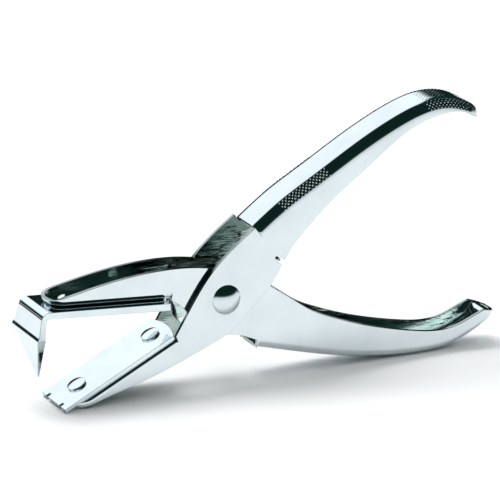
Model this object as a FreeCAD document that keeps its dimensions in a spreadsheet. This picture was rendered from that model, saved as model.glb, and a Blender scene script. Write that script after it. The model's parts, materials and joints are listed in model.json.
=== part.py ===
import FreeCAD, Part

import math
import os

# Plier-type staple remover: two crossed sheet-steel channels on one rivet.
# Frame: +Z up, +X towards the handles, Y along the pivot. The tool stands on the tip of its
# lower jaw and on the belly of its lower handle, and the origin is under the middle of its box.
# Outlines are given in millimetres from the pivot's centre, as (x, z).

DRIVING = {
    "pivot_x": -17.6,
    "pivot_height": 29.2,
    "sheet": 1.2,
    "outer_width": 15.2,
    "inner_width": 11.6,
    "outer_bend": 4.0,
    "inner_bend": 3.0,
    "outer_corner": 7.2,
    "inner_corner": 5.4,
    "plate_width": 16.8,
    "anvil_length": 41.4,
    "anvil_thick": 1.2,
    "anvil_tilt": 27.3,
    "claw_thick": 2.2,
    "claw_tilt": 3.8,
    "claw_shoulder": 19.0,
    "shank_radius": 2.5,
    "pivot_head_radius": 4.8,
    "pivot_head_height": 2.2,
    "inner_bore_radius": 2.56,
    "sleeve_bore_radius": 2.52,
    "sleeve_radius": 3.2,
    "sleeve_length": 9.0,
    "rivet_shank_radius": 1.5,
    "button_radius": 3.0,
    "button_height": 1.0,
    "tail_radius": 2.5,
    "tail_height": 1.0,
    "claw_head_height": 1.4,
    "wire_radius": 0.55,
    "coil_radius": 3.9,
    "coil_pitch": 1.15,
    "coil_turns": 4,
}

# Handle of the outer lever, along the outside of its back, from the window to the tip.
OUTER_BACK = [(9.3, 22.3), (18.6, 29.3), (29.8, 36.1), (46.3, 45.9), (57.4, 51.6), (66.4, 55.1),
              (73.3, 56.4), (79.0, 56.0), (85.0, 53.9), (92.0, 49.6)]
# Free edge of the same handle's walls, from the cheeks to the tip.
OUTER_EDGE = [(22.5, 14.4), (29.6, 21.9), (39.4, 30.6), (47.7, 36.8), (55.9, 43.1), (61.4, 46.9),
              (67.0, 49.6), (72.7, 51.2), (78.4, 52.0), (84.0, 51.0), (88.5, 48.4), (92.5, 45.5)]
# Front edge of the outer cheeks, from the window down to the lower jaw's web, which starts at OUTER_WEB_X.
OUTER_FRONT = [(9.3, 22.3), (-2.5, 12.6), (-9.4, 3.8), (-14.0, -4.0)]
OUTER_WEB_X = -17.3
# Lower edge of the outer lever, from the cheeks to the nose of the lower jaw.
JAW_EDGE = [(1.6, -11.3), (-13.5, -17.7), (-29.3, -23.3), (-38.3, -25.9), (-49.5, -29.2)]
OUTER_NOSE_X = -53.0

# Web of the lower handle, along the outside of its belly, from the cheeks to the tip.
INNER_BELLY = [(12.3, -18.7), (28.6, -22.9), (44.6, -26.5), (55.3, -28.2), (64.0, -29.0), (71.5, -29.2),
               (79.6, -28.8), (87.7, -26.6), (95.6, -22.6), (101.2, -19.0)]
# Rim of the inner lever, from the lower handle's tip over the pivot to the upper jaw's nose.
HANDLE_RIM = [(94.8, -17.2), (90.0, -19.2), (84.6, -21.2), (79.0, -21.9), (70.0, -20.9), (59.5, -18.6),
              (50.5, -16.1), (37.6, -11.4), (31.2, -8.4), (26.0, -4.9), (16.5, 1.6)]
JAW_RIM = [(-4.6, 10.4), (-10.0, 11.3), (-18.0, 11.9), (-26.0, 11.8), (-35.0, 11.0), (-44.0, 9.6),
           (-52.0, 8.0), (-59.8, 6.4)]
# Front and lower edge of the inner cheeks, from the upper jaw's web, at INNER_WEB_X, to the lower handle's.
INNER_WEB_X = -18.3
INNER_FRONT = [(-12.7, -3.0), (-11.3, -6.0), (-10.6, -9.0), (-7.0, -11.6), (3.0, -12.6),
               (12.3, -15.8)]
INNER_NOSE_X = -59.8
FOLDED_TIP = 5.5

# Claw plate: bottom rear corner of its strip, the crease and shoulder of its face, and its point.
CLAW_REAR = (-20.0, -0.4)
CLAW_CREASE = (-64.1, 2.0)
CLAW_SHOULDER = (-65.6, -4.0)
CLAW_POINT = (-60.9, -19.3)
CLAW_BACK_TOP = (-62.3, 1.4)
CLAW_BACK_SHOULDER = (-62.9, -4.0)
CLAW_BACK_POINT = (-60.5, -19.3)
POINT_WIDTH = 0.5
UNDER_FOLD = 0.9

# Anvil plate: top rear edge, and where its rivets are along it from that edge.
ANVIL_REAR = (-18.6, -9.1)
ANVIL_RIVETS = {"anvil_rivet_rear": 4.3, "anvil_rivet_front": 32.4}
# Its bowed rear end, and the two slots in its front end: distance from the middle, half width, depth.
REAR_BULGE = 1.8
SLOT_AT = 4.6
SLOT_HALF = 0.6
SLOT_DEPTH = 1.4
# Claw rivets: distance along the strip from its rear end.
CLAW_RIVETS = {"claw_rivet_rear": 6.5, "claw_rivet_front": 32.5}

# Spring: where its legs press, on the notch of the outer wall and on the lower handle's web.
NOTCH_AT = (17.6, 11.2)
NOTCH_WIDTH = 1.7
NOTCH_LENGTH = 9.0
NOTCH_TURN = -37.0
LEG_END = (19.0, -18.25)
LEG_OUT_Y = -8.4
HOOK_BEND = 1.2

# Corners of the cheeks: rear of the outer ones, top of the inner ones, and end of the folded tip.
CHEEK_REAR = (15.5, 2.4)
CHEEK_TOP = (4.0, 8.8)
LIP_END = (103.0, -19.6)

# Upright rim under each domed head, and the bevel round the flat buttons.
HEAD_RIM = 0.3
BUTTON_BEVEL = 0.4

# Bend of the claw's strip, and how far a cutting tool stands past the face that it cuts.
FOLD_RADIUS = 3.0
CUT_THROUGH = 2.0
DRILL_REACH = 4.0

# Blocks are drawn deeper and longer than the finished walls, which are trimmed afterwards.
HANDLE_DEPTH = 45.0
JAW_DEPTH = 22.0
OPEN_END = 6.0
MARGIN = 40.0
ROOM = 160.0
# A cut that takes off less than this many cubic millimetres has missed.
LEAST_CUT = 0.001


def start_document():
    doc = FreeCAD.newDocument("StapleRemover")
    sheet = doc.addObject("Spreadsheet::Sheet", "Sizes")
    for row, (alias, value) in enumerate(DRIVING.items(), start=1):
        sheet.set(f"A{row}", alias)
        sheet.set(f"B{row}", str(value))
        sheet.setAlias(f"B{row}", alias)
    doc.recompute()
    return doc


def size(name):
    return DRIVING[name]


def plane_of(body, role):
    for feature in body.Origin.OriginFeatures:
        if feature.Role == role:
            return feature
    raise RuntimeError("no plane " + role)


def vectors(points):
    return [FreeCAD.Vector(x, y, 0) for x, y in points]


def line(start, end):
    first, last = vectors([start, end])
    return Part.LineSegment(first, last)


def polyline(points):
    return [line(a, b) for a, b in zip(points, points[1:])]


def spline(points):
    curve = Part.BSplineCurve()
    curve.interpolate(vectors(points))
    return curve


def offset_points(points, distance):
    """The points of a spline moved sideways by distance, to the right of its direction."""
    curve = spline(points)
    moved = []
    for point in vectors(points):
        tangent = curve.tangent(curve.parameter(point))[0]
        moved.append((point.x + tangent.y * distance, point.y - tangent.x * distance))
    return moved


def polar(start, angle, distance):
    turn = math.radians(angle)
    return (start[0] + distance * math.cos(turn), start[1] + distance * math.sin(turn))


def new_body(doc, name):
    body = doc.addObject("PartDesign::Body", name)
    doc.recompute()
    return body


def sketch_on(body, name, role, geometry):
    sketch = body.newObject("Sketcher::SketchObject", name)
    sketch.AttachmentSupport = [(plane_of(body, role), "")]
    sketch.MapMode = "FlatFace"
    for piece in geometry:
        sketch.addGeometry(piece, False)
    body.Document.recompute()
    return sketch


def symmetric_pad(body, name, sketch, width):
    pad = body.newObject("PartDesign::Pad", name)
    pad.Profile = sketch
    pad.Midplane = True
    pad.setExpression("Length", width)
    body.Tip = pad
    body.Document.recompute()
    return pad


def symmetric_pocket(body, name, sketch, width):
    before = body.Shape.Volume
    pocket = body.newObject("PartDesign::Pocket", name)
    pocket.Profile = sketch
    pocket.Midplane = True
    pocket.Length = width
    body.Tip = pocket
    body.Document.recompute()
    if body.Shape.Volume > before - LEAST_CUT:
        raise RuntimeError(name + " cuts nothing")
    return pocket


def fillet_edges(body, name, base, edges, radius):
    fillet = body.newObject("PartDesign::Fillet", name)
    fillet.Base = (base, edges)
    fillet.setExpression("Radius", radius)
    body.Tip = fillet
    body.Document.recompute()
    return fillet


def touches(shape, point):
    return shape.distToShape(Part.Vertex(point[0], 0, point[1]))[0] < 0.01


def round_corners(body, name, base, end, radius):
    """Round the two upright corners at a channel's closed end, as seen from above."""
    edges = []
    for index, edge in enumerate(base.Shape.Edges, start=1):
        upright = abs(abs(edge.tangentAt(edge.FirstParameter).z) - 1) < 1e-6
        if upright and abs(edge.BoundBox.XMin - end[0]) < 1e-3:
            edges.append(f"Edge{index}")
    return fillet_edges(body, name, base, edges, radius)


def round_bends(body, name, base, web_point, open_end, radius):
    """Round the edges of the web's face, apart from the one at its open end."""
    edges = []
    for index, edge in enumerate(base.Shape.Edges, start=1):
        faces = base.Shape.ancestorsOfType(edge, Part.Face)
        if any(touches(face, web_point) for face in faces) and not touches(edge, open_end):
            edges.append(f"Edge{index}")
    return fillet_edges(body, name, base, edges, radius)


def channel_block(doc, name, web, depth, width, corner, bend):
    """A block under a web that starts at an open end, its closed end and its bends rounded."""
    start, end = web[0], web[-1]
    inward = offset_points(web, depth)[0]
    bottom = inward[1]
    curve = [spline(web)] if len(web) > 2 else polyline(web)
    outline = curve + polyline([end, (end[0], bottom), inward, start])
    body = new_body(doc, name)
    sketch = sketch_on(body, name + "Outline", "XZ_Plane", outline)
    pad = symmetric_pad(body, name + "Pad", sketch, width)
    rounded = round_corners(body, name + "Corners", pad, end, corner)
    middle = web[len(web) // 2] if len(web) > 2 else ((start[0] + end[0]) / 2, (start[1] + end[1]) / 2)
    round_bends(body, name + "Bends", rounded, middle, start, bend)
    return body


def channel(doc, name, lever, web, depth, end_wall):
    """A bent channel: the web is web, the walls go depth to the right of it (left if negative)."""
    inside = depth / abs(depth) * size("sheet")
    block = channel_block(doc, name + "Block", web, depth, f"Sizes.{lever}_width",
                          f"Sizes.{lever}_corner", f"Sizes.{lever}_bend")
    lining = offset_points(web, inside)
    first, second = lining[0], lining[1]
    reach = OPEN_END / math.dist(first, second)
    opened = (first[0] + (first[0] - second[0]) * reach, first[1] + (first[1] - second[1]) * reach)
    last_x = web[-1][0] - math.copysign(end_wall, web[-1][0])
    closed = closing_point(lining, last_x)
    lining = [opened] + lining[:-1] + [closed] if len(web) > 2 else [opened, closed]
    through = depth + math.copysign(JAW_DEPTH, depth)
    hollow = channel_block(doc, name + "Hollow", lining, through, f"Sizes.{lever}_width - 2 * Sizes.sheet",
                           f"Sizes.{lever}_corner - Sizes.sheet", f"Sizes.{lever}_bend - Sizes.sheet")
    return combine(doc, "Part::Cut", name + "Channel", block, hollow)


def closing_point(points, x):
    """Where the last span of an outline, or its straight extension, reaches x."""
    (x1, z1), (x2, z2) = points[-2:]
    return (x, z1 + (z2 - z1) * (x - x1) / (x2 - x1))


def plain_pad(doc, name, outline, width):
    body = new_body(doc, name)
    symmetric_pad(body, name + "Pad", sketch_on(body, name + "Outline", "XZ_Plane", outline), width)
    return body


def cheeks(doc, name, lever, outline):
    """The two flat walls at the pivot, which have no web between them."""
    walls = plain_pad(doc, name + "Walls", outline, f"Sizes.{lever}_width")
    gap = plain_pad(doc, name + "Gap", outline, f"Sizes.{lever}_width - 2 * Sizes.sheet")
    return combine(doc, "Part::Cut", name + "Cheeks", walls, gap)


def combine(doc, kind, name, base, tool):
    result = doc.addObject(kind, name)
    result.Base = base
    result.Tool = tool
    doc.recompute()
    if kind == "Part::Cut" and result.Shape.Volume > base.Shape.Volume - LEAST_CUT:
        raise RuntimeError(name + " cuts nothing")
    return result


def cylinder_along_y(doc, name, radius, length, centre=(0, 0, 0)):
    """A cylinder along Y, its radius an expression, centred on centre."""
    cylinder = doc.addObject("Part::Cylinder", name)
    cylinder.setExpression("Radius", radius)
    cylinder.Height = length
    x, y, z = centre
    turn = FreeCAD.Rotation(FreeCAD.Vector(1, 0, 0), -90)
    cylinder.Placement = FreeCAD.Placement(FreeCAD.Vector(x, y - length / 2, z), turn)
    return cylinder


def place(part, label, position=(0, 0), turn=0.0, axis_along_y=False):
    """Label a finished sub-part and put it in the frame, position and turn given at the pivot."""
    part.Label = label
    x, z = position
    rotation = FreeCAD.Rotation(FreeCAD.Vector(0, 1, 0), turn)
    if axis_along_y:
        rotation = FreeCAD.Rotation(FreeCAD.Vector(1, 0, 0), 90)
    part.Placement = FreeCAD.Placement(FreeCAD.Vector(x, 0, z), rotation)
    part.setExpression("Placement.Base.x", f"{x} + Sizes.pivot_x")
    part.setExpression("Placement.Base.z", f"{z} + Sizes.pivot_height")
    return part


def jaw_line(x):
    """Height of the lower jaw's web, on its outside, at x: the anvil plate lies on it."""
    tilt = math.radians(size("anvil_tilt"))
    return ANVIL_REAR[1] - size("anvil_thick") / math.cos(tilt) + (x - ANVIL_REAR[0]) * math.tan(tilt)


def strip_line(x):
    """Height of the upper jaw's web, on its outside, at x: it lies on the claw's strip."""
    tilt = math.radians(size("claw_tilt"))
    return CLAW_REAR[1] + size("claw_thick") / math.cos(tilt) - (x - CLAW_REAR[0]) * math.tan(tilt)


def outer_lever(doc):
    jaw_rear = (OUTER_WEB_X, jaw_line(OUTER_WEB_X))
    jaw_web = [jaw_rear, (OUTER_NOSE_X, jaw_line(OUTER_NOSE_X))]
    handle = channel(doc, "OuterHandle", "outer", OUTER_BACK, HANDLE_DEPTH, size("sheet"))
    jaw = channel(doc, "OuterJaw", "outer", jaw_web, -JAW_DEPTH, size("sheet"))
    handle_foot = offset_points(OUTER_BACK, HANDLE_DEPTH)[0]
    jaw_foot = offset_points(jaw_web, -JAW_DEPTH)[0]
    middle = [spline(OUTER_FRONT + [jaw_rear])] + polyline([jaw_rear, jaw_foot, handle_foot, OUTER_BACK[0]])
    plates = cheeks(doc, "Outer", "outer", middle)

    far = ROOM
    below = [spline(OUTER_EDGE), spline(JAW_EDGE)]
    below += polyline([OUTER_EDGE[-1], (far, OUTER_EDGE[-1][1]), (far, -far), (-far, -far),
                       (-far, JAW_EDGE[-1][1]), JAW_EDGE[-1]])
    below += polyline([JAW_EDGE[0], CHEEK_REAR, OUTER_EDGE[0]])
    bored = trimmed_lever(doc, "Outer", [handle, plates, jaw], below, "Sizes.shank_radius")
    notched = combine(doc, "Part::Cut", "OuterNotched", bored, spring_notch(doc))
    spots = {label: anvil_spot(along) for label, along in ANVIL_RIVETS.items()}
    return place(riveted(doc, notched, spots, -size("anvil_tilt")), "outer_lever")


def trimmed_lever(doc, name, pieces, waste, bore_radius):
    """Join a lever's channels and cheeks, cut its free edges and bore it for the rivet."""
    whole = doc.addObject("Part::MultiFuse", name + "Whole")
    whole.Shapes = pieces
    doc.recompute()
    edge_cut = plain_pad(doc, name + "Waste", waste, f"2 * Sizes.{name.lower()}_width")
    trimmed = combine(doc, "Part::Cut", name + "Trimmed", whole, edge_cut)
    bore = cylinder_along_y(doc, name + "Bore", bore_radius, MARGIN)
    return combine(doc, "Part::Cut", name + "Bored", trimmed, bore)


def spring_notch(doc):
    """A slot with a round bottom, open at the rear edge of the near wall."""
    width = size("outer_width")
    turn = FreeCAD.Rotation(FreeCAD.Vector(0, 1, 0), -NOTCH_TURN)
    slot = doc.addObject("Part::Box", "NotchSlot")
    slot.Length = NOTCH_LENGTH
    slot.Width = width
    slot.Height = NOTCH_WIDTH
    corner = turn.multVec(FreeCAD.Vector(0, 0, -NOTCH_WIDTH / 2))
    corner += FreeCAD.Vector(NOTCH_AT[0], -width, NOTCH_AT[1])
    slot.Placement = FreeCAD.Placement(corner, turn)
    centre = (NOTCH_AT[0], -width / 2, NOTCH_AT[1])
    bottom = cylinder_along_y(doc, "NotchBottom", str(NOTCH_WIDTH / 2), width, centre)
    return combine(doc, "Part::Fuse", "Notch", slot, bottom)


def anvil_spot(along):
    """A point on the anvil plate's top, at a distance from its rear edge."""
    return polar(ANVIL_REAR, 180 + size("anvil_tilt"), along)


def claw_spot(along):
    """A point on the claw strip's top, at a distance from its rear end."""
    top_rear = polar(CLAW_REAR, 90 - size("claw_tilt"), size("claw_thick"))
    return polar(top_rear, 180 - size("claw_tilt"), along)


def riveted(doc, lever, spots, tilt):
    """A lever with a hole through its jaw's web at each rivet's spot."""
    turn = FreeCAD.Rotation(FreeCAD.Vector(0, 1, 0), tilt)
    for label, (x, z) in spots.items():
        hole = doc.addObject("Part::Cylinder", label + "_drill")
        hole.setExpression("Radius", "Sizes.rivet_shank_radius")
        hole.Height = 2 * DRILL_REACH
        foot = turn.multVec(FreeCAD.Vector(0, 0, -DRILL_REACH))
        hole.Placement = FreeCAD.Placement(foot + FreeCAD.Vector(x, 0, z), turn)
        lever = combine(doc, "Part::Cut", label + "_hole_in_web", lever, hole)
    return lever


def inner_lever(doc):
    jaw_rear = (INNER_WEB_X, strip_line(INNER_WEB_X))
    jaw_web = [jaw_rear, (INNER_NOSE_X, strip_line(INNER_NOSE_X))]
    handle = channel(doc, "InnerHandle", "inner", INNER_BELLY, -HANDLE_DEPTH, FOLDED_TIP)
    jaw = channel(doc, "InnerJaw", "inner", jaw_web, JAW_DEPTH, size("sheet"))
    handle_foot = offset_points(INNER_BELLY, -HANDLE_DEPTH)[0]
    jaw_foot = offset_points(jaw_web, JAW_DEPTH)[0]
    middle = [spline([jaw_rear] + INNER_FRONT)]
    middle += polyline([INNER_FRONT[-1], INNER_BELLY[0], handle_foot, jaw_foot, jaw_rear])
    plates = cheeks(doc, "Inner", "inner", middle)

    far = ROOM
    above = [spline(HANDLE_RIM), spline(JAW_RIM)]
    above += polyline([HANDLE_RIM[-1], CHEEK_TOP, JAW_RIM[0]])
    above += polyline([JAW_RIM[-1], (-far, JAW_RIM[-1][1]), (-far, far), (far, far), (far, LIP_END[1]),
                       LIP_END, HANDLE_RIM[0]])
    bored = trimmed_lever(doc, "Inner", [handle, plates, jaw], above, "Sizes.inner_bore_radius")
    spots = {label: claw_spot(along) for label, along in CLAW_RIVETS.items()}
    return place(riveted(doc, bored, spots, size("claw_tilt")), "inner_lever")


def revolved(doc, name, outline):
    """A round piece about its sketch's vertical axis, which is the frame's Z."""
    body = new_body(doc, name)
    sketch = sketch_on(body, name + "Outline", "XZ_Plane", outline)
    turned = body.newObject("PartDesign::Revolution", name + "Turned")
    turned.Profile = sketch
    turned.ReferenceAxis = (sketch, ["V_Axis"])
    turned.Angle = 360
    body.Tip = turned
    doc.recompute()
    return body


def dome_arc(radius, base, height):
    """A spherical arc from the rim of a domed head at base to its crown; height < 0 turns it over."""
    ball = (radius ** 2 + height ** 2) / (2 * abs(height))
    half_angle = math.asin(radius / ball) / 2
    drop = math.copysign(ball * (1 - math.cos(half_angle)), height)
    middle = (ball * math.sin(half_angle), base + height - drop)
    start, through, end = vectors([(radius, base), middle, (0, base + height)])
    return Part.Arc(start, through, end)


def pivot_rivet(doc):
    half = size("outer_width") / 2
    head, height, shank = size("pivot_head_radius"), size("pivot_head_height"), size("shank_radius")
    rim = half + HEAD_RIM
    dome = height - HEAD_RIM
    outline = polyline([(head, rim), (head, half), (shank, half), (shank, -half), (head, -half),
                        (head, -rim)])
    outline += [dome_arc(head, rim, dome), dome_arc(head, -rim, -dome)]
    outline.append(line((0, -half - height), (0, half + height)))
    rivet = revolved(doc, "PivotRivet", outline)
    return place(rivet, "pivot_rivet", axis_along_y=True)


def spacer_sleeve(doc):
    sleeve = doc.addObject("Part::Cylinder", "SleeveOutside")
    sleeve.setExpression("Radius", "Sizes.sleeve_radius")
    sleeve.setExpression("Height", "Sizes.sleeve_length")
    bore = doc.addObject("Part::Cylinder", "SleeveBore")
    bore.setExpression("Radius", "Sizes.sleeve_bore_radius")
    bore.setExpression("Height", "Sizes.sleeve_length")
    half = size("sleeve_length") / 2
    for cylinder in (sleeve, bore):
        cylinder.Placement.Base.z = -half
    return place(combine(doc, "Part::Cut", "SpacerSleeve", sleeve, bore), "spacer_sleeve", axis_along_y=True)


def anvil_plate(doc):
    """A flat plate with a bowed rear end and two slots in its front end."""
    length, half = size("anvil_length"), size("plate_width") / 2
    floor = SLOT_DEPTH - length
    front = [(-length, half)]
    for slot in (SLOT_AT, -SLOT_AT):
        front += [(-length, slot + SLOT_HALF), (floor, slot + SLOT_HALF),
                  (floor, slot - SLOT_HALF), (-length, slot - SLOT_HALF)]
    front.append((-length, -half))
    start, through, end = vectors([(0, -half), (REAR_BULGE, 0), (0, half)])
    outline = polyline([(0, half)] + front + [(0, -half)]) + [Part.Arc(start, through, end)]
    body = new_body(doc, "AnvilPlate")
    sketch = sketch_on(body, "AnvilOutline", "XY_Plane", outline)
    pad = body.newObject("PartDesign::Pad", "AnvilPad")
    pad.Profile = sketch
    pad.setExpression("Length", "Sizes.anvil_thick")
    pad.Reversed = True
    body.Tip = pad
    doc.recompute()
    for name, along in ANVIL_RIVETS.items():
        hole = sketch_on(body, name + "_hole", "XY_Plane", [circle((-along, 0), size("rivet_shank_radius"))])
        symmetric_pocket(body, name + "_bore", hole, MARGIN)
    return place(body, "anvil_plate", ANVIL_REAR, -size("anvil_tilt"))


def circle(centre, radius):
    return Part.Circle(vectors([centre])[0], FreeCAD.Vector(0, 0, 1), radius)


def anvil_rivet(doc, label, along):
    """A flat button on the plate, a shank through plate and web, and a flat tail in the channel."""
    shank, head, tail = size("rivet_shank_radius"), size("button_radius"), size("tail_radius")
    top, grip = size("button_height"), size("anvil_thick") + size("sheet")
    bottom = -grip - size("tail_height")
    outline = polyline([(0, bottom), (tail, bottom), (tail, -grip), (shank, -grip), (shank, 0), (head, 0),
                        (head, top - BUTTON_BEVEL), (head - BUTTON_BEVEL, top), (0, top), (0, bottom)])
    body = revolved(doc, label.title().replace("_", ""), outline)
    return place(body, label, anvil_spot(along), -size("anvil_tilt"))


def claw_plate(doc):
    """A strip under the upper jaw, bent down at its end into a face with a ground, pointed blade."""
    tilt = size("claw_tilt")
    top_rear = polar(CLAW_REAR, 90 - tilt, size("claw_thick"))
    fold_top = (CLAW_CREASE[0] + FOLD_RADIUS, strip_line(CLAW_CREASE[0] + FOLD_RADIUS))
    inset = FOLD_RADIUS * (1 - math.cos(math.radians(45)))
    start, through, end = vectors([fold_top, (CLAW_CREASE[0] + inset, fold_top[1] - inset), CLAW_CREASE])
    side = polyline([CLAW_REAR, top_rear, fold_top]) + [Part.Arc(start, through, end)]
    underside = strip_line(CLAW_BACK_TOP[0]) - size("claw_thick") / math.cos(math.radians(tilt))
    side += polyline([CLAW_CREASE, CLAW_SHOULDER, CLAW_POINT, CLAW_BACK_POINT, CLAW_BACK_SHOULDER,
                      CLAW_BACK_TOP, (CLAW_BACK_TOP[0] + UNDER_FOLD, underside), CLAW_REAR])
    profile = plain_pad(doc, "ClawSide", side, f"Sizes.claw_shoulder + {CUT_THROUGH}")
    for name, along in CLAW_RIVETS.items():
        cut = countersink(doc, name, claw_spot(along))
        profile = combine(doc, "Part::Cut", name + "_seat", profile, cut)

    half, shoulder, tip = size("plate_width") / 2, size("claw_shoulder") / 2, POINT_WIDTH / 2
    top = strip_line(CLAW_CREASE[0]) + CUT_THROUGH
    right = [(half, top), (half, CLAW_CREASE[1]), (shoulder, CLAW_SHOULDER[1]), (tip, CLAW_POINT[1])]
    face = right + [(-y, z) for y, z in right[::-1]] + [right[0]]
    body = new_body(doc, "ClawFace")
    sketch = sketch_on(body, "ClawFaceOutline", "YZ_Plane", polyline(face))
    symmetric_pad(body, "ClawFacePad", sketch, str(ROOM))
    return place(combine(doc, "Part::Common", "ClawPlate", profile, body), "claw_plate")


def claw_rivet_outline(extra):
    """Half outline of a claw rivet; its countersunk head is flush with the strip's underside."""
    shank, head = size("rivet_shank_radius"), size("tail_radius")
    bottom = -size("claw_thick")
    sink = size("claw_thick") / 2
    top = size("sheet")
    dome = size("claw_head_height")
    outline = polyline([(0, bottom - extra), (shank + sink + extra, bottom - extra), (shank, bottom + sink),
                        (shank, top)])
    if extra:
        return outline + polyline([(shank, top), (0, top), (0, bottom - extra)])
    outline += polyline([(shank, top), (head, top), (head, top + HEAD_RIM)])
    outline.append(dome_arc(head, top + HEAD_RIM, dome - HEAD_RIM))
    outline.append(line((0, top + dome), (0, bottom)))
    return outline


def countersink(doc, name, spot):
    body = revolved(doc, name.title().replace("_", "") + "Seat", claw_rivet_outline(CUT_THROUGH))
    turn = FreeCAD.Rotation(FreeCAD.Vector(0, 1, 0), size("claw_tilt"))
    body.Placement = FreeCAD.Placement(FreeCAD.Vector(spot[0], 0, spot[1]), turn)
    doc.recompute()
    return body


def claw_rivet(doc, label, along):
    body = revolved(doc, label.title().replace("_", ""), claw_rivet_outline(0))
    return place(body, label, claw_spot(along), size("claw_tilt"))


def tangent_angle(radius, point, side):
    """Angle on the coil where a straight leg to point leaves it, on the side given by +1 or -1."""
    distance = math.hypot(*point)
    return math.degrees(math.atan2(point[1], point[0]) + side * math.acos(radius / distance))


def coil_of_wire(start, height):
    """The middle line of the coil, about the Y axis, starting at an angle in the XZ plane."""
    coil = Part.makeHelix(size("coil_pitch"), height, size("coil_radius"), 0, True)
    lay = FreeCAD.Rotation(FreeCAD.Vector(1, 0, 0), -90)
    turn = FreeCAD.Rotation(FreeCAD.Vector(0, 1, 0), -start)
    coil.Placement = FreeCAD.Placement(FreeCAD.Vector(0, -height / 2, 0), turn.multiply(lay))
    return coil.Edges[0]


def leg_tip(root, tip):
    """Where a leg that leaves the coil at root with the helix's slope passes over the point tip."""
    slope = size("coil_pitch") / (2 * math.pi * size("coil_radius"))
    sideways = slope * math.dist((root.x, root.z), tip)
    return FreeCAD.Vector(tip[0], root.y + math.copysign(sideways, root.y), tip[1])


def bend_at(before, corner, after, radius):
    """The arc that rounds a corner of the wire."""
    first, second = (before - corner).normalize(), (after - corner).normalize()
    half_angle = first.getAngle(second) / 2
    reach = radius / math.tan(half_angle)
    middle = (first + second).normalize() * (radius / math.sin(half_angle) - radius)
    return Part.Arc(corner + first * reach, corner + middle, corner + second * reach)


def straight(start, end):
    return Part.LineSegment(start, end).toShape()


def return_spring(doc):
    """A coil round the sleeve, one leg hooked in the outer wall's notch, one on the lower web."""
    radius = size("coil_radius")
    start = tangent_angle(radius, NOTCH_AT, 1)
    finish = tangent_angle(radius, LEG_END, -1)
    turns = size("coil_turns") + ((finish - start) % 360) / 360
    coil = coil_of_wire(start, size("coil_pitch") * turns)
    near, far = coil.valueAt(coil.FirstParameter), coil.valueAt(coil.LastParameter)
    hook = FreeCAD.Vector(NOTCH_AT[0], LEG_OUT_Y, NOTCH_AT[1])
    bend = bend_at(hook, leg_tip(near, NOTCH_AT), near, HOOK_BEND)

    path = doc.addObject("Part::Feature", "SpringPath")
    path.Shape = Part.Wire([straight(hook, bend.StartPoint), bend.toShape(), straight(bend.EndPoint, near),
                            coil, straight(far, leg_tip(far, LEG_END))])
    wire = doc.addObject("Part::Circle", "SpringWire")
    wire.setExpression("Radius", "Sizes.wire_radius")
    wire.Placement = FreeCAD.Placement(hook, FreeCAD.Rotation(FreeCAD.Vector(1, 0, 0), 90))
    spring = doc.addObject("Part::Sweep", "ReturnSpring")
    spring.Sections = [wire]
    spring.Spine = (path, [f"Edge{index + 1}" for index in range(len(path.Shape.Edges))])
    spring.Solid = True
    doc.recompute()
    return place(spring, "return_spring")


def check(doc, parts):
    for thing in doc.Objects:
        if "Invalid" in thing.State or "Error" in thing.State:
            raise RuntimeError(f"{thing.Label} is in state {thing.State}")
    for part in parts:
        shape = part.Shape
        if shape.isNull() or not shape.isValid() or not shape.Solids:
            raise RuntimeError(part.Label + " has no valid solid")


def main():
    doc = start_document()
    parts = [outer_lever(doc), inner_lever(doc), pivot_rivet(doc), spacer_sleeve(doc), anvil_plate(doc),
             claw_plate(doc), return_spring(doc)]
    parts += [anvil_rivet(doc, label, along) for label, along in ANVIL_RIVETS.items()]
    parts += [claw_rivet(doc, label, along) for label, along in CLAW_RIVETS.items()]
    doc.recompute()
    check(doc, parts)
    os.makedirs("parts", exist_ok=True)
    for part in parts:
        part.Shape.exportStep(f"parts/{part.Label}.step")
        box = part.Shape.BoundBox
        print(f"{part.Label}: {len(part.Shape.Solids)} solid, {part.Shape.Volume:.1f} mm3,",
              f"x {box.XMin:.2f} to {box.XMax:.2f}, y {box.YMin:.2f} to {box.YMax:.2f},",
              f"z {box.ZMin:.2f} to {box.ZMax:.2f}")


main()
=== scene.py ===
# %% [markdown]
# A plier-type staple remover in bright chrome plating. Two bent sheet-steel levers cross on one
# rivet. The frame is the working CAD model: it says where each piece is and how it turns, and
# this lesson makes the pieces that a viewer sees, in the same place and at the same size.

# %% Frame
import json
import math

import bmesh
import bpy
import numpy as np
from mathutils import Matrix, Vector


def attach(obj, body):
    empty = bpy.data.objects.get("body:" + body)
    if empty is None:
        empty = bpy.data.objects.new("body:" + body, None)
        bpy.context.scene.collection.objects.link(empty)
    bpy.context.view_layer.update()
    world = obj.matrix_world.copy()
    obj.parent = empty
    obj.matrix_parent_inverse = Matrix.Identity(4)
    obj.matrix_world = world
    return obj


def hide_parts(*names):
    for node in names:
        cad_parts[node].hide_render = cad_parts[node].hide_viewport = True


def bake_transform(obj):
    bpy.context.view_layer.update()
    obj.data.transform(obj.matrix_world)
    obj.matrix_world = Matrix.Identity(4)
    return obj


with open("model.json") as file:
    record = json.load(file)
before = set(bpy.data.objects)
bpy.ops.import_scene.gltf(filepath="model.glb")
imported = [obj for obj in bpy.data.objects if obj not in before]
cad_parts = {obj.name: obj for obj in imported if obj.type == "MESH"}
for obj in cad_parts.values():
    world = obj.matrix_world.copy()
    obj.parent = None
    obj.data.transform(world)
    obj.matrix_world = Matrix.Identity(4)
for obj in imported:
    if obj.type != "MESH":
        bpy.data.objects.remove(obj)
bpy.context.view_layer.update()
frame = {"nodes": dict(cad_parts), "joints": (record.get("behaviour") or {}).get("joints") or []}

MM = 0.001
PIVOT = Vector(frame["joints"][0]["pos_m"])
print("pivot at", tuple(PIVOT))

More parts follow.
